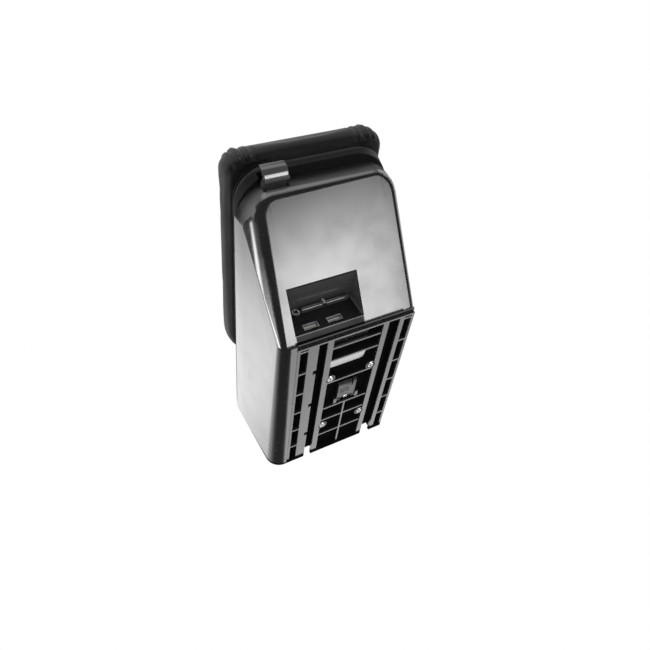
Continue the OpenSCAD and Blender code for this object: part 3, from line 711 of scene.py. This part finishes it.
seam_x, seam_depth, seam_half = 0.0515, 0.0020, 0.0018
gathers = ((0.0445, 0.0011), (0.0585, 0.0016), (0.0635, 0.0009))   # each fold's middle and depth
gather_half, gather_lean, gather_run, gather_fade = 0.0014, 0.10, 0.030, 0.020
cover, outward = vertex_vectors(pad.data, "co"), vertex_vectors(pad.data, "normal")
off_middle, above_tuck = np.abs(cover[:, 0]), cover[:, 2] > waist_z - 0.010
sunk = seam_depth * np.exp(-((off_middle - seam_x) / seam_half) ** 2) * above_tuck
near_front = np.clip((pad_low[1] + gather_run - cover[:, 1]) / gather_fade, 0, 1) * above_tuck
for gather_x, gather_depth in gathers:
    bent = off_middle - gather_x - gather_lean * (cover[:, 2] - waist_z)
    sunk += gather_depth * near_front * np.exp(-(bent / gather_half) ** 2)
cover -= outward * sunk[:, None]
pad.data.vertices.foreach_set("co", cover.ravel())

leather, here = new_finish("black_leather")
seam_line = 1 - abs(abs(here.axis("X")) - seam_x).ease(0.0003, 0.0010)
wander = here.node("ShaderNodeVectorMath", {"operation": "SCALE"}, {
    0: here.node("ShaderNodeTexNoise", (), {"Vector": here, "Scale": 240.0}, 1), "Scale": 0.0012})
wandering = here.node("ShaderNodeVectorMath", {"operation": "ADD"}, {0: here, 1: wander})
cells = here.node("ShaderNodeTexVoronoi", {"feature": "DISTANCE_TO_EDGE"}, {
    "Vector": wandering, "Scale": 950.0})
drawn_out = here.node("ShaderNodeMapping", (), {"Vector": here, "Scale": (1.0, 0.45, 1.6)})
creases = here.node("ShaderNodeTexVoronoi", {"feature": "DISTANCE_TO_EDGE"}, {
    "Vector": drawn_out, "Scale": 210.0})
patch = here.noise(18.0, 4.0, 0.6)
fold = here.noise(70.0, 3.0, 0.6)
grain = cells.ease(0.0, 0.12) * 0.6 + creases.ease(0.0, 0.05) * 0.5 + fold * 1.2 - seam_line * 2.0
leather_tone = patch * 0.7 + cells.ease(0.0, 0.2) * 0.3
leather_tone = leather_tone.blend((0.022, 0.022, 0.023), (0.042, 0.042, 0.044))
# Painted shade: the leather below the waist, tucked under the board's edge, is painted near-black for
# the shadow under the pad.
painted_tuck_shade = 1 - here.axis("Z").ease(waist_z - 0.0075, waist_z - 0.0050)
leather_tone = seam_line.blend(leather_tone, (0.012, 0.012, 0.012))
leather_tone = painted_tuck_shade.blend(leather_tone, (0.002, 0.002, 0.002))
leather_bump = here.node("ShaderNodeBump", (), {"Strength": 0.35, "Distance": 0.0004, "Height": grain})
put_surface(here.node("ShaderNodeBsdfPrincipled", (), {
    "Base Color": leather_tone, "Roughness": 0.48 + patch * 0.16, "IOR": 1.5, "Sheen Weight": 0.12,
    "Normal": leather_bump}))
pad.data.materials.append(leather)
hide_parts("lid_pad")
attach(pad, "lid")


# Stitching: black polyester thread in two rows, one either side of each seam. Every stitch
# is one short bar of thread that dips into the leather at both ends.
stitch_pitch, stitch_len, thread_r, row_offset = 0.0042, 0.0030, 0.00038, 0.0042


def cover_path(x, skin):
    """Points and normals where rays from inside the pad meet its cover at one x.

    The rays leave a spine that runs lengthwise at the waist: they fan round its front
    end, rise over the top, and fan round its rear end."""
    front_y, rear_y = pad_low[1] + 0.03, pad_high[1] - 0.045
    fan = np.radians(np.linspace(-22, 90, 60))
    starts = [(front_y, -math.cos(a), math.sin(a)) for a in fan]
    starts += [(y, 0.0, 1.0) for y in np.linspace(front_y, rear_y, 120)[1:-1]]
    starts += [(rear_y, math.cos(a), math.sin(a)) for a in fan[::-1]]
    points, normals = [], []
    for y, dy, dz in starts:
        hit, normal, _, _ = skin.ray_cast(Vector((x, y, waist_z)), Vector((0, dy, dz)))
        if hit is not None:
            points.append(hit)
            normals.append(normal)
    return np.array(points), np.array(normals)


def even_steps(points, normals, pitch):
    """The path resampled at an even pitch along its length, with its tangents."""
    run = run_of(points)
    at = np.arange(pitch, run[-1] - pitch, pitch)
    place, normal = along_run(at, run, points), along_run(at, run, normals)
    ahead = along_run(at + pitch * 0.2, run, points) - place
    return place, *(v / np.linalg.norm(v, axis=1, keepdims=True) for v in (normal, ahead))


def stitches(name, place, normal, tangent):
    """One closed bead per stitch, for s from 0 to 1 along it: rings of radius
    thread_r sqrt(sin(pi s)) round a line that bows up along the normal."""
    side = np.cross(normal, tangent)
    s = np.linspace(0.03, 0.97, 7)[:, None, None]
    a = np.linspace(0, 2 * np.pi, 7)[:-1, None]
    girth = thread_r * np.sqrt(np.sin(np.pi * s))
    lift = thread_r * 0.6 * (2 * np.sin(np.pi * s) - 1)
    place, normal, tangent, side = (v[:, None, None, :] for v in (place, normal, tangent, side))
    points = (place + tangent * (s - 0.5) * stitch_len + normal * (lift + girth * np.sin(a))
              + side * girth * np.cos(a))
    count, rows, cols = points.shape[:3]
    quads = grid_quads(rows, cols, True)[:, [0, 3, 2, 1]]
    base = np.arange(count)[:, None, None] * rows * cols
    ends = np.stack([np.arange(cols)[::-1], (rows - 1) * cols + np.arange(cols)])
    faces = (quads + base).reshape(-1, 4).tolist() + (ends + base).reshape(-1, cols).tolist()
    return new_piece(name, face_mesh(name, points, faces))


thread, here = new_finish("stitch_thread")
twist = here.noise(3500.0, 2.0)
put_surface(here.node("ShaderNodeBsdfPrincipled", (), {
    "Base Color": twist.blend((0.05, 0.05, 0.05), (0.13, 0.13, 0.13)), "Roughness": 0.6,
    "Sheen Weight": 0.2}))
bpy.context.view_layer.update()
skin = BVHTree.FromObject(pad, bpy.context.evaluated_depsgraph_get())
for side_name, sign in (("left", -1), ("right", 1)):
    for row_name, shift in (("inner", -row_offset), ("outer", row_offset)):
        path = cover_path(sign * (seam_x + shift), skin)
        row = stitches(f"stitch_{side_name}_{row_name}", *even_steps(*path, stitch_pitch))
        row.data.materials.append(thread)
        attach(row, "lid")
